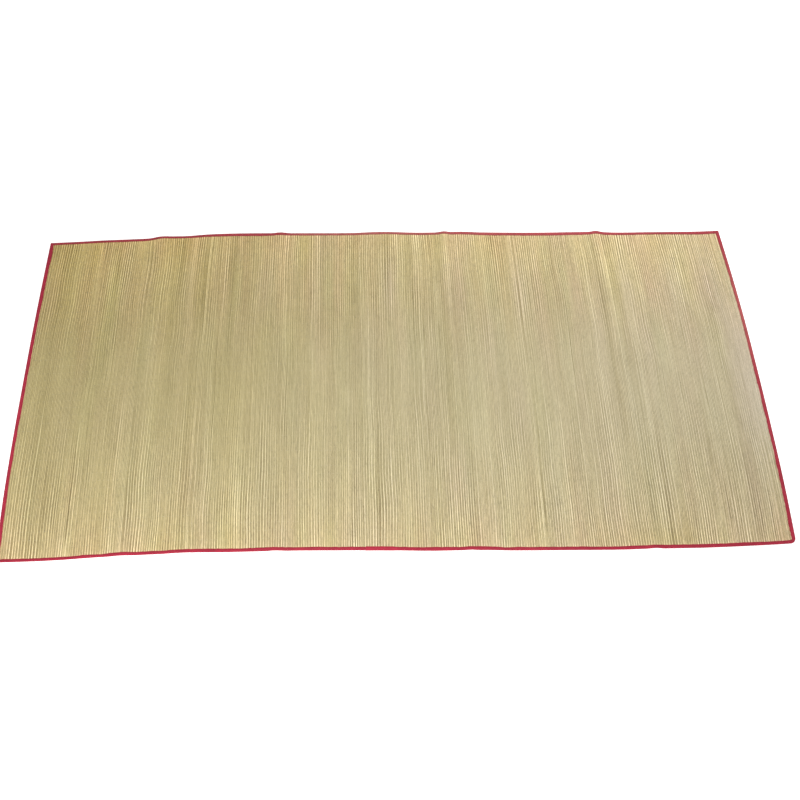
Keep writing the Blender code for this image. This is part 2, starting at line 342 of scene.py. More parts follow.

# What the tape shows of itself along each side: how wide its face is, how faded and sheened, and how light.
# The paler far side is partly fading and partly painted sheen, and the lighter left side is a painted
# highlight.
Look = namedtuple("Look", "place width fade light")
NEAR_LOOKS = (
    Look(-0.900, 0.90, 0.00, 1.00),
    Look(-0.780, 0.83, 0.00, 1.00),
    Look(-0.600, 0.91, 0.00, 1.00),
    Look(-0.400, 0.98, 0.00, 1.00),
    Look(-0.200, 1.00, 0.04, 0.97),
    Look(-0.080, 0.97, 0.00, 1.00),
    Look(0.000, 0.97, 0.00, 1.00),
    Look(0.100, 0.97, 0.00, 1.00),
    Look(0.300, 0.92, 0.03, 1.00),
    Look(0.500, 0.92, 0.00, 0.98),
    Look(0.700, 1.00, 0.00, 1.02),
    Look(0.820, 0.93, 0.00, 1.00),
    Look(0.900, 1.00, 0.00, 1.00),
)
# the far side: paler tape, partly fading and partly painted sheen
FAR_LOOKS = (
    Look(-0.900, 0.98, 0.15, 1.05),
    Look(-0.640, 0.98, 0.15, 1.05),
    Look(-0.560, 0.92, 0.18, 1.05),
    Look(-0.420, 1.17, 0.18, 1.05),
    Look(-0.300, 1.08, 0.22, 1.02),
    Look(-0.220, 1.00, 0.55, 1.00),
    Look(0.000, 1.00, 0.58, 0.97),
    Look(0.100, 1.00, 0.52, 0.95),
    Look(0.180, 1.14, 0.38, 1.00),
    Look(0.300, 1.24, 0.32, 1.02),
    Look(0.570, 1.22, 0.22, 1.06),
    Look(0.620, 1.12, 0.25, 1.00),
    Look(0.760, 1.10, 0.25, 0.98),
    Look(0.840, 1.28, 0.20, 1.00),
    Look(0.900, 1.25, 0.15, 1.00),
)
# the left side: lighter tape, a painted highlight
LEFT_LOOKS = (
    Look(-0.450, 1.05, 0.00, 1.18),
    Look(0.050, 1.08, 0.00, 1.24),
    Look(0.250, 1.16, 0.00, 1.18),
    Look(0.450, 1.25, 0.00, 1.18),
)
RIGHT_LOOKS = (
    Look(-0.450, 1.25, 0.00, 1.05),
    Look(-0.250, 1.12, 0.05, 1.00),
    Look(0.000, 1.12, 0.14, 1.00),
    Look(0.150, 1.04, 0.36, 1.02),
    Look(0.300, 1.14, 0.30, 1.02),
    Look(0.450, 1.16, 0.10, 1.00),
)
LOOKS_BLEND = 4  # how many sections one side's look takes to turn into the next

# The lap
LAP_SECTIONS = 42
LAP_THICK = TAPE_THICK + 0.1 * MM
LAP_SINK = 0.012  # over this length the lap sinks into the tape beneath
LAP_TUCK = 0.05 * MM  # and ends this deep in it
LAP_WIDER = 0.7 * MM  # than the tape beneath, at its free end
LAP_NARROWER = 0.2 * MM  # at its hidden end
LAP_OUT = 0.6  # how far it stands out at the rim, against how far it stands up
LAP_DIP = 0.10 * MM
LAP_HOLE_DIP = 0.12 * MM
LAP_HOLE_SINK = 0.04 * MM
LAP_LIGHT = 1.12
LAP_CLOTH_STEP = 1.2  # millimetres of cloth between two corners of its section
HEM_REACH = 6 * MM  # its raw edge is turned in over this length
HEM_SLOPE = 4 * MM
HEM_LIFT = 0.25 * MM

# The stitches
STITCH_PITCH = 3.5 * MM
STITCH_INSET = 1.8 * MM  # from the tape's inner edge
STITCH_STRAY = 0.12 * MM
STITCH_RADIUS = 0.26 * MM
STITCH_SIDES = 4
STITCH_SPREAD = 0.10  # in lightness
# One stitch: how far along the pitch its points lie, and how high
Point = namedtuple("Point", "along up")
STITCH = (
    Point(0.12, -0.10 * MM),
    Point(0.50, 0.22 * MM),
    Point(0.88, -0.10 * MM),
)
# The two rows: how high each lies, how much of a stitch's height it shows, and whether the lap lifts it
Row = namedtuple("Row", "name base shows lapped")
STITCH_ROWS = (
    Row("top", RIM_HEIGHT - 0.12 * MM, 1.0, True),
    Row("under", 0.31 * MM, -0.2, False),
)

# The studio
CAMERA_PLACE = (-0.0545, -1.2608, 2.1234)
CAMERA_YAW = -0.0566
CAMERA_TILT = 0.5151
CAMERA_ROLL = 0.0274
Lamp = namedtuple("Lamp", "name x y height power")
LAMPS = (
    Lamp("lamp_right", 0.71, 0.53, 1.65, 21.8),
    Lamp("lamp_front", -0.50, -1.48, 1.30, 38.2),
)
LAMP_SIZE = 0.9
FLOOR_REACH = 15.0
FLOOR_DROP = 0.3 * MM  # beneath the mat, so that the two share no plane
FLOOR_LOOK = {
    "Base Color": (0.85, 0.85, 0.85, 1.0),
    "Roughness": 0.9,
    "Specular IOR Level": 0.0,
    "Emission Color": (1.0, 1.0, 1.0, 1.0),
    "Emission Strength": 0.65,
}
SURROUNDINGS = {"Color": (1.0, 0.985, 0.96, 1.0), "Strength": 0.42}

rng = np.random.default_rng(11)


def eased(share):
    """From 0 to 1, level at both ends."""
    share = np.clip(share, 0.0, 1.0)
    return share * share * (3 - 2 * share)


def bell(off):
    """1 in the middle, on a bell curve whose spread is 1."""
    return np.exp(-0.5 * off ** 2)


def column(rows, name):
    """One column of a table."""
    return np.array([getattr(row, name) for row in rows])


def stacked(*values):
    """Arrays side by side, along a new last axis."""
    return np.stack(np.broadcast_arrays(*values), axis=-1)


def read_table(rows, name, places):
    """A column of a table at many places, on a smooth line through its rows."""
    at, value = column(rows, "place"), column(rows, name)
    places = np.asarray(places, dtype=float)
    i = np.clip(np.searchsorted(at, places) - 1, 0, len(at) - 2)
    before, after = np.maximum(i - 1, 0), np.minimum(i + 2, len(at) - 1)
    span = at[i + 1] - at[i]
    t = (places - at[i]) / span
    m0 = span * (value[i + 1] - value[before]) / (at[i + 1] - at[before])
    m1 = span * (value[after] - value[i]) / (at[after] - at[i])
    step = value[i + 1] - value[i]
    return value[i] + t * (m0 + t * (3 * step - 2 * m0 - m1 + t * (m0 + m1 - 2 * step)))


def lie_uncentred(along, across):
    """Where a place on the mat lies, seen from above, before the mat is centred."""
    beyond = np.where(along > 0, read_table(ENDS, "right", across), read_table(ENDS, "left", across))
    x = along * (1 + beyond / HALF_LENGTH)
    far, near = read_table(SIDES, "far", along), read_table(SIDES, "near", along)
    return x, near + (far - near) * (across / HALF_WIDTH + 1) / 2


def find_middle():
    """The middle of the outline's box, which the part is centred on, to the millimetre."""
    along = np.linspace(-HALF_LENGTH, HALF_LENGTH, round(LENGTH / MM) + 1)
    across = np.linspace(-HALF_WIDTH, HALF_WIDTH, round(WIDTH / MM) + 1)
    left, right = (lie_uncentred(end, across)[0] for end in (-HALF_LENGTH, HALF_LENGTH))
    near, far = (lie_uncentred(along, side)[1] for side in (-HALF_WIDTH, HALF_WIDTH))
    return (left.min() + right.max()) / 2, (near.min() + far.max()) / 2


MIDDLE = find_middle()


def lie_at(along, across):
    """Where a place on the mat lies, seen from above."""
    x, y = lie_uncentred(along, across)
    return x - MIDDLE[0], y - MIDDLE[1]


def from_rim(along, across):
    """How far in from the nearest side."""
    return np.minimum(HALF_LENGTH - np.abs(along), HALF_WIDTH - np.abs(across))


def crease_rise(along, across):
    """How far the creases lift the mat off the floor."""
    share = across / HALF_WIDTH
    rise = np.zeros(np.broadcast(along, across).shape)
    for crease in CREASES:
        middle = crease.near + (crease.far - crease.near) * (share + 1) / 2
        off = np.minimum(np.abs(along - middle) / crease.reach, 1.0)
        tilt = (crease.far_rise - crease.near_rise) / 2
        bend = (crease.far_rise + crease.near_rise) / 2 - crease.mid_rise
        top = crease.mid_rise + tilt * share + bend * share * share
        rise += top * (1 + np.cos(math.pi * off)) / 2
    return rise


def straw_heights(along, across):
    """The underside and the top of the straw."""
    down = eased((from_rim(along, across) - RIM_HELD) / (RIM_DOWN - RIM_HELD))
    under = crease_rise(along, across) + LAID_HEIGHT * (1 - down)
    return under, under + PRESSED_THICK + (PANEL_THICK - PRESSED_THICK) * down


def gentle(count, knots, places):
    """Random numbers that change gently along each of many lines: a row for each line, a column for each of
    the places, which run from 0 to 1."""
    values = rng.standard_normal((count, knots))
    spot = np.clip(places, 0, 1) * (knots - 1)
    first = np.minimum(spot.astype(int), knots - 2)
    share = eased(spot - first)
    return values[:, first] * (1 - share) + values[:, first + 1] * share


def mixed(values, reach):
    """Each row mixed with its neighbours, on a bell curve that is cut off at three spreads."""
    steps = np.arange(-math.ceil(3 * reach), math.ceil(3 * reach) + 1)
    weight = bell(steps / reach)
    weight /= weight.sum()
    return np.apply_along_axis(lambda line: np.convolve(line, weight, mode="same"), 0, values)


def grouped(values, narrow, wide):
    """Each row mixed with its nearest neighbours and set against the wider ones, to a spread of 1."""
    group = mixed(values, narrow) - mixed(values, wide)
    return group / group.std()


# Meshes


def add_object(name, data):
    """An object in the scene."""
    thing = bpy.data.objects.new(name, data)
    bpy.context.scene.collection.objects.link(thing)
    return thing


def add_mesh(name, points, quads, caps, material, colours, places=None, place_name="fibre"):
    """A piece from arrays: its points, quads of their numbers, and caps as arrays of larger polygons."""
    mesh = bpy.data.meshes.new(name)
    points = points.reshape(-1, 3).astype(np.float32)
    mesh.vertices.add(len(points))
    mesh.vertices.foreach_set("co", points.ravel())
    groups = [quads.reshape(-1, 4), *caps]
    corners = np.concatenate([group.ravel() for group in groups])
    sizes = np.concatenate([np.full(len(group), group.shape[1]) for group in groups])
    mesh.loops.add(len(corners))
    mesh.loops.foreach_set("vertex_index", corners.astype(np.int32))
    mesh.polygons.add(len(sizes))
    mesh.polygons.foreach_set("loop_start", np.concatenate([[0], np.cumsum(sizes)[:-1]]).astype(np.int32))
    mesh.update(calc_edges=True)
    mesh.validate()
    mesh.shade_smooth()
    layer = mesh.color_attributes.new(name="tone", type="FLOAT_COLOR", domain="POINT")
    rgba = np.ones((len(points), 4), dtype=np.float32)
    rgba[:, :3] = colours.reshape(-1, 3)
    layer.data.foreach_set("color", rgba.ravel())
    if places is not None:
        layer = mesh.attributes.new(name=place_name, type="FLOAT_VECTOR", domain="POINT")
        layer.data.foreach_set("vector", places.astype(np.float32).ravel())
    piece = add_object(name, mesh)
    mesh.materials.append(material)
    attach(piece, "root")
    return piece


def tube_faces(tubes, rows, sides, turned=False):
    """The quads and end caps of many tubes, whose points are numbered tube by tube, row by row. They are
    turned over where the sides run the other way round."""
    start = np.arange(tubes)[:, None, None] * rows * sides
    row = np.arange(rows - 1)[None, :, None] * sides
    side = np.arange(sides)[None, None, :]
    following = (side + 1) % sides
    quads = stacked(start + row + side, start + row + following, start + row + sides + following,
                    start + row + sides + side).reshape(-1, 4)
    ring = np.arange(tubes)[:, None] * rows * sides + np.arange(sides)[None, :]
    way = -1 if turned else 1
    return quads[:, ::way], (ring[:, ::-way], (ring + (rows - 1) * sides)[:, ::way])


# Materials


def add_node(tree, kind, inputs=(), **settings):
    """A shader node with its settings, its inputs set or linked."""
    node = tree.nodes.new(kind)
    for name, value in settings.items():
        setattr(node, name, value)
    for socket, value in dict(inputs).items():
        if isinstance(value, bpy.types.NodeSocket):
            tree.links.new(value, node.inputs[socket])
        else:
            node.inputs[socket].default_value = value
    return node


def attribute(tree, name, output):
    return add_node(tree, "ShaderNodeAttribute", attribute_name=name).outputs[output]


def split(tree, vector):
    """The three numbers of a vector."""
    return add_node(tree, "ShaderNodeSeparateXYZ", {0: vector}).outputs


def noise(tree, vector, kind):
    inputs = {0: vector, 1: (kind.x, kind.y, kind.z)}
    place = add_node(tree, "ShaderNodeVectorMath", inputs, operation="MULTIPLY").outputs[0]
    inputs = {"Vector": place, "Scale": 1.0, "Detail": kind.detail, "Roughness": kind.roughness}
    return add_node(tree, "ShaderNodeTexNoise", inputs).outputs["Fac"]


def ramped(tree, value, ramp):
    inputs = {0: value, 1: ramp.low, 2: ramp.high, 3: ramp.at_low, 4: ramp.at_high}
    return add_node(tree, "ShaderNodeMapRange", inputs).outputs[0]


def maths(tree, operation, first, second=0.0):
    return add_node(tree, "ShaderNodeMath", {0: first, 1: second}, operation=operation).outputs[0]


def product(tree, first, second):
    return maths(tree, "MULTIPLY", first, second)


def scaled(tree, colour, factor):
    """A colour made lighter or darker."""
    inputs = {0: colour, "Scale": factor}
    return add_node(tree, "ShaderNodeVectorMath", inputs, operation="SCALE").outputs[0]


def bumped(tree, height, relief):
    return add_node(tree, "ShaderNodeBump", {"Height": height, "Distance": relief}).outputs[0]


def new_material(name, specular, build):
    """A material whose build function gives the colour, roughness and normal sockets."""
    material = bpy.data.materials.new(name)
    material.use_nodes = True
    tree = material.node_tree
    shader = tree.nodes["Principled BSDF"]
    shader.inputs["Specular IOR Level"].default_value = specular
    for socket, value in zip(("Base Color", "Roughness", "Normal"), build(tree)):
        tree.links.new(value, shader.inputs[socket])
    return material


def straw_nodes(tree):
    """The straw's own tone with fine streaks and flecks along it, and a faintly ribbed skin."""
    tone, fibre = attribute(tree, "tone", "Color"), attribute(tree, "fibre", "Vector")
    streaks, flecks, blotches = (
        noise(tree, fibre, kind) for kind in (STRAW_STREAKS, STRAW_FLECKS, STRAW_BLOTCHES))
    from_middle = maths(tree, "ABSOLUTE", split(tree, fibre)[1])
    spots = product(tree, ramped(tree, flecks, FLECKS_LIGHT), ramped(tree, blotches, BLOTCHES_LIGHT))
    spots = maths(tree, "POWER", spots, ramped(tree, from_middle, SPOTS_STRENGTH))
    colour = scaled(tree, tone, product(tree, ramped(tree, streaks, STREAKS_LIGHT), spots))
    relief = maths(tree, "ADD", streaks, product(tree, flecks, FLECKS_PART))
    return colour, ramped(tree, streaks, STRAW_ROUGHNESS), bumped(tree, relief, STRAW_RELIEF)


def thread_nodes(tree):
    """Cotton thread with a little fuzz, in its own tone."""
    tone = attribute(tree, "tone", "Color")
    fuzz = noise(tree, add_node(tree, "ShaderNodeTexCoord").outputs["Object"], THREAD_FUZZ)
    colour = scaled(tree, tone, ramped(tree, fuzz, FUZZ_LIGHT))
    return colour, ramped(tree, fuzz, FUZZ_ROUGHNESS), bumped(tree, fuzz, THREAD_RELIEF)


def cloth_nodes(tree):
    """Plain-woven cotton tape: threads both ways, slubs in them, and a little fading."""
    tone, cloth = attribute(tree, "tone", "Color"), attribute(tree, "cloth", "Vector")
    turns = 2 * math.pi / WEAVE_PITCH
    waves = [maths(tree, "SINE", product(tree, way, turns)) for way in split(tree, cloth)[:2]]
    weave = product(tree, *waves)
    slubs, fading = noise(tree, cloth, TAPE_SLUBS), noise(tree, cloth, TAPE_FADING)
    light = product(tree, ramped(tree, weave, WEAVE_LIGHT), ramped(tree, slubs, SLUBS_LIGHT))
    light = product(tree, light, ramped(tree, fading, FADING_LIGHT))
    relief = maths(tree, "ADD", product(tree, weave, WEAVE_PART), slubs)
    return scaled(tree, tone, light), ramped(tree, slubs, TAPE_ROUGHNESS), bumped(tree, relief, TAPE_RELIEF)


# Straws


def lay_straws():
    """Where every straw lies: its centre line, width and height at each row of points."""
    side = np.array(RIM_ROWS)
    warps = WARP_STEP * np.arange(-WARPS_EACH_WAY, WARPS_EACH_WAY + 1)
    rows = np.concatenate([side - HALF_WIDTH, warps, HALF_WIDTH - side[::-1]])
    count, number = STRAW_COUNT, np.arange(STRAW_COUNT)
    places = (rows + HALF_WIDTH) / WIDTH
    share = rows / HALF_WIDTH

    # The two straws of a pair lie head to tail, and each is thicker and paler at its root.
    turned_pair = np.repeat(rng.random(count // 2) < TURNED_PAIRS, 2)
    head = np.where((number % 2 == 0) != turned_pair, 1.0, -1.0)
    width = 1 + WIDTH_SPREAD * rng.standard_normal((count, 1))
    width = width + WIDTH_DRIFT * grouped(rng.standard_normal((count, 1)), narrow=7, wide=60)
    width = np.clip(width + ROOT_WIDTH * head[:, None] * share, *WIDTH_LIMITS)
    width *= (LENGTH - 2 * STRAW_EDGE) / width.sum(axis=0)
    along = STRAW_EDGE - HALF_LENGTH + np.cumsum(width, axis=0) - width / 2
    from_end = HALF_LENGTH - STRAW_EDGE - np.abs(along)
    drift = STRAW_DRIFT * grouped(gentle(count, knots=10, places=places), narrow=12, wide=90)
    along = along + drift * eased(from_end / DRIFT_FROM)

    # The round corner cuts the last straws short.
    turn_start, inner_radius = HALF_LENGTH - TURN_RADIUS, TURN_RADIUS - STRAW_EDGE
    outer_side = along + STRAW_LAP * width / 2
    into_turn = np.clip(outer_side - turn_start, 0, inner_radius)
    reach = TURN_RADIUS - np.sqrt(inner_radius ** 2 - into_turn ** 2 + SQUARE_SLACK)
    inside = np.maximum(rows, reach - HALF_WIDTH + ROW_GAP * np.arange(len(rows)))
    across = np.where(outer_side > turn_start, inside, rows)

    under, top = straw_heights(along, across)
    warp_number = np.arange(len(rows)) - len(RIM_ROWS)
    over = np.where((number[:, None] // 2 + warp_number) % 2 == 0, -1.0, 1.0)  # -1: the thread lies over it
    free = (warp_number >= 0) & (warp_number <= 2 * WARPS_EACH_WAY)
    plump = 1 + HEIGHT_SPREAD * rng.standard_normal((count, 1))
    plump = plump + HEIGHT_DRIFT * gentle(count, knots=6, places=places)
    height = (top - under - 2 * WEAVE_LIFT) * np.clip(plump, *HEIGHT_LIMITS)
    level = LEVEL_DRIFT * gentle(count, knots=9, places=places)
    middle = (under + top) / 2 + WEAVE_LIFT * over * free + level
    return {"along": along, "across": across, "width": width, "height": height, "middle": middle,
            "share": share, "places": places, "head": head, "over": over, "warps": warps}


def straw_tones(straws):
    """The colour of every straw at each row of points."""
    count, share, places = STRAW_COUNT, straws["share"], straws["places"]
    along, across = straws["along"], straws["across"]
    end = np.abs(share)
    stands_out = np.exp(UNEVEN * rng.standard_normal((count, 1)))
    pairs = grouped(gentle(count // 2, knots=9, places=places), narrow=1.2, wide=30)
    strength = ALTERNATE * (1 + ALTERNATE_SPREAD * np.repeat(pairs, 2, axis=0))
    tone = straws["head"][:, None] * strength * share * (ALTERNATE_RISE - ALTERNATE_EASE * share ** 2)
    for grain in GRAINS:
        spread = grouped(gentle(count, grain.knots, places) * stands_out, grain.narrow, grain.wide)
        tone = tone + (grain.middle + (grain.ends - grain.middle) * eased(end / GRAIN_ENDS)) * spread
    for streak in STREAKS:
        near = bell((along - streak.place) / (streak.reach / STREAK_SPREADS))
        ends = np.where(share > 0, streak.far, streak.near)
        tone = tone + near * (streak.middle + (ends - streak.middle) * eased(end * STREAK_SPEED))
    tone = np.clip(tone, *TONE_LIMITS)

    turn = {name: read_table(TURNS, name, across) for name in ("light", "green", "blue", "hues")}
    way = along / HALF_LENGTH
    left, right = np.maximum(-way, 0), np.maximum(way, 0)
    rubbed = np.exp(-((from_rim(along, across) - TAPE_FACE) / TAPE_EDGE_REACH) ** 2)
    causes = {
        "hue": turn["hues"] * grouped(gentle(count, knots=6, places=places), narrow=4, wide=60),
        "warmth": turn["hues"] * grouped(gentle(count, knots=6, places=places), narrow=5, wide=60),
        "rubbed": rubbed,
        "along": way,
        "left": left,
        "left_far": left * np.maximum(share, 0) ** 2,
        "left_across": left * share,
        "right_near": right * np.clip((-share - NEAR_FROM) / (1 - NEAR_FROM), 0, 1),
    }
    light = turn["light"] * (1 + tone) * (1 + TAPE_EDGE_LIGHT * rubbed)
    # patches of painted light and of the straw's own tone, the first a painted sheen
    for patch in PATCHES:
        inside = bell((along - patch.along) / patch.reach_along)
        inside = inside * bell((across - patch.across) / patch.reach_across)
        light = light * (1 + patch.light * inside)
        turn["blue"] = turn["blue"] * (1 + patch.blue * inside)
    colours = [light]
    for name, shift in SHIFTS.items():
        shifted = 1 + sum(getattr(shift, cause) * value for cause, value in causes.items())
        colours.append(light * turn[name] * (1 + tone) ** shift.tone * shifted)
    return stacked(*colours) * np.array(BODY)


def make_straws(straws, tones, material):
    """Five joined meshes of straws, one for each field between the creases."""
    along, across = straws["along"], straws["across"]
    rise = crease_rise(along + CREASE_STEP, across) - crease_rise(along - CREASE_STEP, across)
    lean = np.arctan(rise / (2 * CREASE_STEP))[..., None]
    aside = STRAW_LAP * straws["width"][..., None] / 2 * column(STRAW_SECTION, "aside")
    up = straws["height"][..., None] / 2 * column(STRAW_SECTION, "up")
    x, y = lie_at(along[..., None] + aside * np.cos(lean) - up * np.sin(lean), across[..., None])
    z = straws["middle"][..., None] + aside * np.sin(lean) + up * np.cos(lean)
    points = stacked(x, y, z)
    # painted shade on each straw's sides and underside
    colours = tones[:, :, None, :] * column(STRAW_SECTION, "light")[:, None]
    fibre = stacked(aside / MM, across[..., None] / CM, GRAIN_STEP * np.arange(STRAW_COUNT)[:, None, None])

    rows = along.shape[1]
    field = np.searchsorted([(crease.far + crease.near) / 2 for crease in CREASES], along[:, rows // 2])
    pieces = []
    for k in range(len(CREASES) + 1):
        chosen = np.where(field == k)[0]
        quads, caps = tube_faces(len(chosen), rows, len(STRAW_SECTION))
        pieces.append(add_mesh(f"straws_{k + 1}", points[chosen], quads, caps, material,
                               colours[chosen], fibre[chosen]))
    return pieces


def make_warps(straws, material):
    """The threads that hold the straws, each passing over one pair and under the next."""
    warps = len(straws["warps"])
    at_warps = slice(len(RIM_ROWS), len(RIM_ROWS) + warps)
    along, across, width, height, middle, over = (
        straws[name][:, at_warps] for name in ("along", "across", "width", "height", "middle", "over"))
    x, y = lie_at(along, across)
    crest = middle - over * (height / 2 + WARP_REST * WARP_RADIUS)
    crest = np.maximum(crest, crease_rise(along, across) + WARP_RADIUS)
    seam_x, seam_y = lie_at((along + width / 2)[1::2], across[1::2])
    seam_z = (middle[1::2] + np.concatenate([middle[2::2], middle[-1:]])) / 2
    first, second = stacked(x, y, crest)[0::2], stacked(x, y, crest)[1::2]
    path = np.stack([first, second, stacked(seam_x, seam_y, seam_z)], axis=1)
    path = path.reshape(-1, warps, 3).transpose(1, 0, 2)[:, WARP_SPAN]
    steps = np.linspace(0, 1, path.shape[1])
    path[..., 1] += WARP_WANDER * gentle(warps, knots=90, places=steps)

    angles = math.pi / 2 - 2 * math.pi / WARP_SIDES * np.arange(WARP_SIDES)
    ring = WARP_RADIUS * stacked(0.0, np.cos(angles), np.sin(angles))
    points = path[:, :, None, :] + ring
    shade = 1 + WARP_SPREAD * gentle(warps, knots=40, places=steps)
    colours = np.repeat(shade[:, :, None, None], WARP_SIDES, axis=2) * np.array(THREAD_COLOUR)
    pieces = []
    for name, part in (("near", slice(0, warps // 2)), ("far", slice(warps // 2, None))):
        quads, caps = tube_faces(len(points[part]), len(steps), WARP_SIDES)
        pieces.append(add_mesh(f"warp_threads_{name}", points[part], quads, caps, material,
                               colours[part]))
    return pieces


def make_ground(material):
    """The thin ground inside the straw, at its middle height, that closes the mat as one sheet; its dark
    colour is painted shade seen in the gaps between the straws.
    """
    half_long, half_wide = HALF_LENGTH - GROUND_INSET, HALF_WIDTH - GROUND_INSET
    along, across = np.meshgrid(np.linspace(-half_long, half_long, GROUND_LINES_ALONG),
                                np.linspace(-half_wide, half_wide, GROUND_LINES_ACROSS))
    corner_along, corner_across = HALF_LENGTH - GROUND_CORNER, GROUND_CORNER - HALF_WIDTH
    corner = (along > corner_along) & (across < corner_across)
    along, across = np.where(corner, corner_along, along), np.where(corner, corner_across, across)
    x, y = lie_at(along, across)
    middle = sum(straw_heights(along, across)) / 2
    points = np.stack([stacked(x, y, middle + lift) for lift in (-GROUND_THICK / 2, GROUND_THICK / 2)])

    number = np.arange(along.size).reshape(along.shape)
    flat = stacked(number[:-1, :-1], number[:-1, 1:], number[1:, 1:], number[1:, :-1]).reshape(-1, 4)
    rim = np.concatenate([number[0], number[1:, -1], number[-1, -2::-1], number[-2:0:-1, 0]])
    following = np.roll(rim, -1)
    wall = stacked(rim, following, following + along.size, rim + along.size)
    quads = np.concatenate([flat[:, ::-1], flat + along.size, wall])
    colours = np.broadcast_to(GROUND_SHADE, points.shape)
    return add_mesh("shade_ground", points, quads, (), material, colours)


# The tape

NEAR, CORNER, RIGHT, FAR, LEFT = range(5)  # the stretches of the rim, in the order that the tape runs


def ring_stations():
    """Where the tape is cut into sections, going round the rim: the place on the outer edge, the way in,
    which stretch it is on, and how far round."""
    def steps(length):
        return round(length / RING_STEP)

    def mitre(place, half):
        return -np.sign(place) * eased((np.abs(place) - (half - MITRE_REACH)) / MITRE_REACH)

    turn_along, turn_across = HALF_LENGTH - TURN_RADIUS, TURN_RADIUS - HALF_WIDTH
    near = np.linspace(-HALF_LENGTH, turn_along, steps(LENGTH - TURN_RADIUS), endpoint=False)
    angle = np.linspace(0, math.pi / 2, CORNER_STEPS, endpoint=False)
    right = np.linspace(turn_across, HALF_WIDTH, steps(WIDTH - TURN_RADIUS), endpoint=False)
    far = np.linspace(HALF_LENGTH, -HALF_LENGTH, steps(LENGTH), endpoint=False)
    left = np.linspace(HALF_WIDTH, -HALF_WIDTH, steps(WIDTH), endpoint=False)
    place = np.concatenate([
        stacked(near, -HALF_WIDTH),
        stacked(turn_along + TURN_RADIUS * np.sin(angle), turn_across - TURN_RADIUS * np.cos(angle)),
        stacked(HALF_LENGTH, right),
        stacked(far, HALF_WIDTH),
        stacked(-HALF_LENGTH, left),
    ])
    way = np.concatenate([
        stacked(np.where(near < 0, mitre(near, HALF_LENGTH), 0), 1.0),
        stacked(-np.sin(angle), np.cos(angle)),
        stacked(-1.0, np.where(right > 0, mitre(right, HALF_WIDTH), 0)),
        stacked(mitre(far, HALF_LENGTH), -1.0),
        stacked(1.0, mitre(left, HALF_WIDTH)),
    ])
    lengths = [len(part) for part in (near, angle, right, far, left)]
    stretch = np.repeat([NEAR, CORNER, RIGHT, FAR, LEFT], lengths)
    step = np.linalg.norm(np.roll(place, -1, axis=0) - place, axis=1)
    return place, way, stretch, np.concatenate([[0], np.cumsum(step)[:-1]])


def tape_looks(place, stretch):
    """How wide the tape's face is at each station, how faded and how light."""
    along, across = place[:, 0], place[:, 1]
    looks = {"width": np.ones(len(place)), "fade": np.zeros(len(place)), "light": np.ones(len(place))}
    sides = ((NEAR, NEAR_LOOKS, along), (RIGHT, RIGHT_LOOKS, across), (FAR, FAR_LOOKS, along),
             (LEFT, LEFT_LOOKS, across))
    for side, rows, at in sides:
        for name in looks:
            looks[name] = np.where(stretch == side, read_table(rows, name, at), looks[name])
    width, fade, light = (mixed(look, LOOKS_BLEND) for look in looks.values())
    return width, np.clip(fade, 0, 1), light


def needle_holes(run):
    """1 at each needle hole along the seam, and 0 halfway between two."""
    return 0.5 + 0.5 * np.cos(2 * math.pi * run / STITCH_PITCH)


# the last column: paler round the outer rim, darker in the seam, underneath and inside the fold as painted
# shade
Bend = namedtuple("Bend", "inset height wear")


def tape_section(face, dip, lift, over=0.0, out=0.0):
    """The folded tape cut across, at many stations: how far in each bend lies, how high and how worn and
    shaded, going under the rim, round the outside, over the top and back inside. It is darker in the seam,
    underneath and inside the fold, as painted shade. A lap lies over and outside another."""
    top, seam = RIM_HEIGHT + over, face - STITCH_INSET
    rows = (
        Bend(face, 0.05 * MM, 0.90),
        Bend(seam, 0.10 * MM, 0.90),
        Bend(0.5 * seam, 0.0, 0.95),
        Bend(0.90 * MM - out, 0.0, 1.00),
        Bend(0.25 * MM - out, 0.5 * MM, 1.04),
        Bend(0.0 - out, top / 2, 1.06),
        Bend(0.22 * MM - out, top - 0.55 * MM, 1.06),
        Bend(0.90 * MM, top - 0.05 * MM, 1.04),
        Bend(0.45 * seam, top + 0.22 * MM + lift, 1.00),
        Bend(seam - 0.8 * MM, top + 0.05 * MM + lift, 0.97),
        Bend(seam, top - dip, 0.82),
        Bend(seam + 0.8 * MM, top + 0.02 * MM + lift, 0.97),
        Bend(face - 0.2 * MM, top + 0.06 * MM + lift, 1.03),
        Bend(face, top - 0.22 * MM + lift, 1.00),
        Bend(face - 0.2 * MM, top - TAPE_THICK + 0.5 * lift, 0.80),
        Bend(TAPE_THICK + GAP, RIM_HEIGHT - TAPE_THICK, 0.70),
        Bend(TAPE_THICK + GAP, TAPE_THICK, 0.70),
        Bend(face - 0.2 * MM, TAPE_THICK, 0.80),
    )
    insets, heights = (stacked(*(getattr(row, name) for row in rows)) for name in ("inset", "height"))
    return insets, heights, column(rows, "wear")


def place_tape(place, way, insets, heights):
    """The points of the tape, from sections across it."""
    along = place[:, 0, None] + insets * way[:, 0, None]
    across = place[:, 1, None] + insets * way[:, 1, None]
    x, y = lie_at(along, across)
    return stacked(x, y, heights + crease_rise(along, across))


def tape_colour(fade, light, wear):
    """Crimson, faded to a browner red in places and paler there with painted sheen, paler at the rim, and
    darker in the seam and inside as painted shade.
    """
    colour = np.array(TAPE_COLOUR) * (1 - fade[:, None]) + np.array(FADED_AND_SHEEN_TAPE) * fade[:, None]
    return (colour * light[:, None])[:, None, :] * wear[:, None]


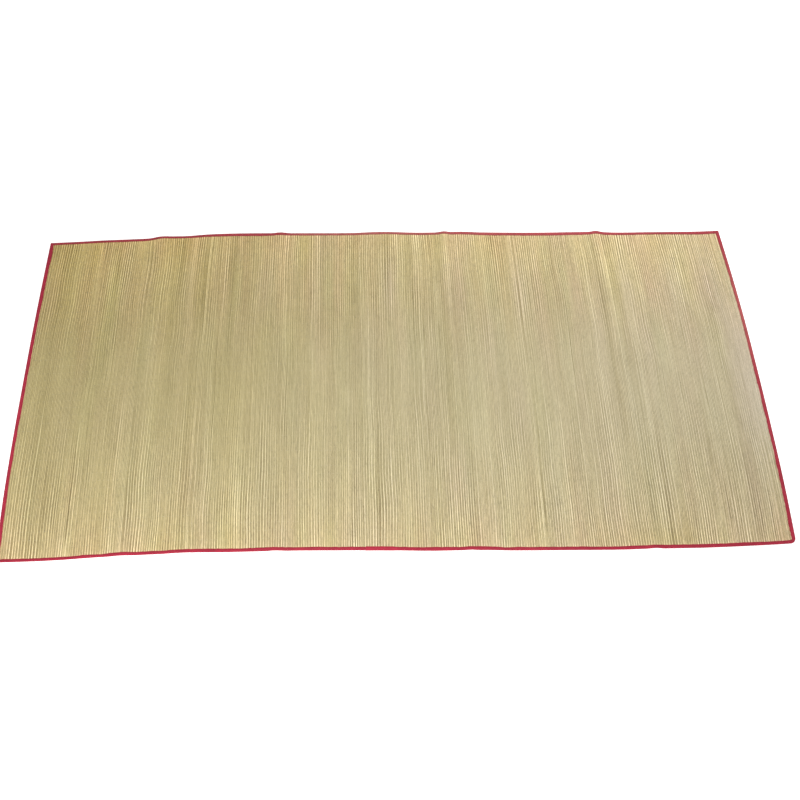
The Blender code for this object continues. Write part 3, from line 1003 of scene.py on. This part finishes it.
def make_binding(material):
    """The folded tape as one ring, and where its sections lie."""
    place, way, stretch, round_rim = ring_stations()
    share = np.linspace(0, 1, len(place))
    width, fade, light = tape_looks(place, stretch)
    face = TAPE_FACE * width + sum(wave.size * gentle(1, wave.knots, share)[0] for wave in FACE_WAVES)
    hole = needle_holes(round_rim)
    ribs = np.cos(math.pi * place[:, 0] / STRAW_PITCH) * ((stretch == NEAR) | (stretch == FAR))
    lift = RIB_LIFT * ribs + LIFT_WAVE.size * gentle(1, LIFT_WAVE.knots, share)[0] - HOLE_SINK * hole
    insets, heights, wear = tape_section(face, SEAM_DIP * (1 + hole), lift)
    points = place_tape(place, way, insets, heights)
    number = np.arange(insets.size).reshape(insets.shape)
    after = np.roll(number, -1, axis=0)
    quads = stacked(number, after, np.roll(after, -1, axis=1), np.roll(number, -1, axis=1))
    steps = np.diff(stacked(insets[0], heights[0]), axis=0)
    girth = np.concatenate([[0], np.cumsum(np.linalg.norm(steps, axis=-1))])
    cloth = stacked(round_rim[:, None] / MM, girth / MM, 0.0)
    piece = add_mesh("binding", points, quads, (), material, tape_colour(fade, light, wear),
                     cloth, "cloth")
    return piece, (place, way, round_rim, face)


def lap_share(along):
    """How far the lap stands out from the tape beneath: in full, but for its end, where it sinks in."""
    return eased((LAP_TO - along) / LAP_SINK)


def make_lap(material):
    """The tape's free end, lapped over its start, with its raw edge turned in."""
    along = np.linspace(LAP_FROM, LAP_TO, LAP_SECTIONS)
    stands, hole = lap_share(along), needle_holes(along)
    face = TAPE_FACE * read_table(NEAR_LOOKS, "width", along)
    face = face + (LAP_WIDER + LAP_NARROWER) * stands - LAP_NARROWER
    lift = HEM_LIFT * eased((LAP_FROM + HEM_REACH - along) / HEM_SLOPE) - LAP_HOLE_SINK * hole
    thick = LAP_THICK * stands - LAP_TUCK
    insets, heights, wear = tape_section(face, LAP_DIP + LAP_HOLE_DIP * hole, lift, thick, LAP_OUT * thick)
    points = place_tape(stacked(along, -HALF_WIDTH), stacked(np.zeros(LAP_SECTIONS), 1.0), insets, heights)
    quads, caps = tube_faces(1, LAP_SECTIONS, len(wear), turned=True)
    cloth = stacked(along[:, None] / MM, LAP_CLOTH_STEP * np.arange(len(wear)), 1.0)
    colours = tape_colour(np.zeros(LAP_SECTIONS), np.full(LAP_SECTIONS, LAP_LIGHT), np.ones(len(wear)))
    return add_mesh("binding_lap", points, quads, caps, material, colours, cloth, "cloth")


def make_stitches(ring, material):
    """The stitches, one row on the tape's top and one on its underside."""
    place, way, round_rim, face = ring
    count = int(round_rim[-1] / STITCH_PITCH)
    spots = (np.arange(count)[:, None] + column(STITCH, "along")) * STITCH_PITCH
    rim_along, rim_across, way_along, way_across = (
        np.interp(spots, round_rim, values) for values in (*place.T, *way.T))
    stray = STITCH_STRAY * rng.standard_normal((count, 1))
    inset = np.interp(spots, round_rim, face) - STITCH_INSET + stray
    along, across = rim_along + inset * way_along, rim_across + inset * way_across
    x, y = lie_at(along, across)
    floor = crease_rise(along, across)
    on_lap = (rim_across < 0) & (rim_along > LAP_FROM) & (rim_along < LAP_TO)
    lap_lift = on_lap * LAP_THICK * lap_share(rim_along)
    pieces = []
    for row in STITCH_ROWS:
        z = floor + row.base + row.shows * column(STITCH, "up") + lap_lift * row.lapped
        middle = stacked(x, y, z)
        run = middle[:, -1] - middle[:, 0]
        run[:, 2] = 0
        run /= np.linalg.norm(run, axis=1, keepdims=True)
        beside = stacked(-run[:, 1], run[:, 0], 0.0)[:, None, None, :]
        angles = (2 * math.pi / STITCH_SIDES * np.arange(STITCH_SIDES))[:, None]
        points = middle[:, :, None, :] + STITCH_RADIUS * (np.cos(angles) * beside + np.sin(angles) * UP)
        quads, caps = tube_faces(count, len(STITCH), STITCH_SIDES, turned=True)
        shade = 1 + STITCH_SPREAD * rng.standard_normal((count, 1))
        colours = np.repeat(shade, len(STITCH) * STITCH_SIDES, axis=0) * np.array(STITCH_COLOUR)
        pieces.append(add_mesh(f"stitches_{row.name}", points, quads, caps, material,
                               colours))
    return pieces


# The studio


def add_camera():
    """The photograph's camera, fitted to the mat's outline."""
    data = bpy.data.cameras.new("photo_camera")
    data.lens = 45.0
    data.sensor_width = 36.0
    data.clip_end = 60.0
    camera = add_object("photo_camera", data)
    camera.matrix_world = (Matrix.Translation(CAMERA_PLACE) @ Matrix.Rotation(CAMERA_YAW, 4, "Z")
                           @ Matrix.Rotation(CAMERA_TILT, 4, "X") @ Matrix.Rotation(CAMERA_ROLL, 4, "Z"))
    bpy.context.scene.camera = camera


def add_lamp(lamp):
    """A soft square lamp that points straight down."""
    data = bpy.data.lights.new(lamp.name, "AREA")
    data.size = LAMP_SIZE
    data.energy = lamp.power
    thing = add_object(lamp.name, data)
    thing.location = (lamp.x, lamp.y, lamp.height)
    thing.rotation_euler = Vector((0.0, 0.0, -lamp.height)).to_track_quat("-Z", "Y").to_euler()
    thing.visible_camera = False


def add_studio():
    """A white floor that stays white to the corners, two soft lamps and even light from all round."""
    scene = bpy.context.scene
    world = bpy.data.worlds.new("studio")
    world.use_nodes = True
    for name, value in SURROUNDINGS.items():
        world.node_tree.nodes["Background"].inputs[name].default_value = value
    scene.world = world

    mesh = bpy.data.meshes.new("floor")
    corners = [(x * FLOOR_REACH, y * FLOOR_REACH, 0.0) for x, y in ((-1, -1), (1, -1), (1, 1), (-1, 1))]
    mesh.from_pydata(corners, [], [(0, 1, 2, 3)])
    floor = add_object("floor", mesh)
    floor.location.z = -FLOOR_DROP
    material = bpy.data.materials.new("floor_white")
    material.use_nodes = True
    for name, value in FLOOR_LOOK.items():
        material.node_tree.nodes["Principled BSDF"].inputs[name].default_value = value
    mesh.materials.append(material)

    for lamp in LAMPS:
        add_lamp(lamp)
    scene.view_settings.view_transform = "Standard"
    scene.view_settings.look = "None"


def main():
    add_camera()
    add_studio()
    straw = new_material("straw", specular=0.35, build=straw_nodes)
    thread = new_material("warp_thread", specular=0.2, build=thread_nodes)
    cloth = new_material("crimson_tape", specular=0.2, build=cloth_nodes)
    cotton = new_material("crimson_thread", specular=0.3, build=thread_nodes)

    straws = lay_straws()
    fields = make_straws(straws, straw_tones(straws), straw)
    warps = make_warps(straws, thread)
    ground = make_ground(thread)
    binding, ring = make_binding(cloth)
    lap = make_lap(cloth)
    stitches = make_stitches(ring, cotton)

    for piece in [ground, *fields, *warps]:
        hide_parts("straw_panel")
    for piece in [binding, lap, *stitches]:
        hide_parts("edge_binding")


main()
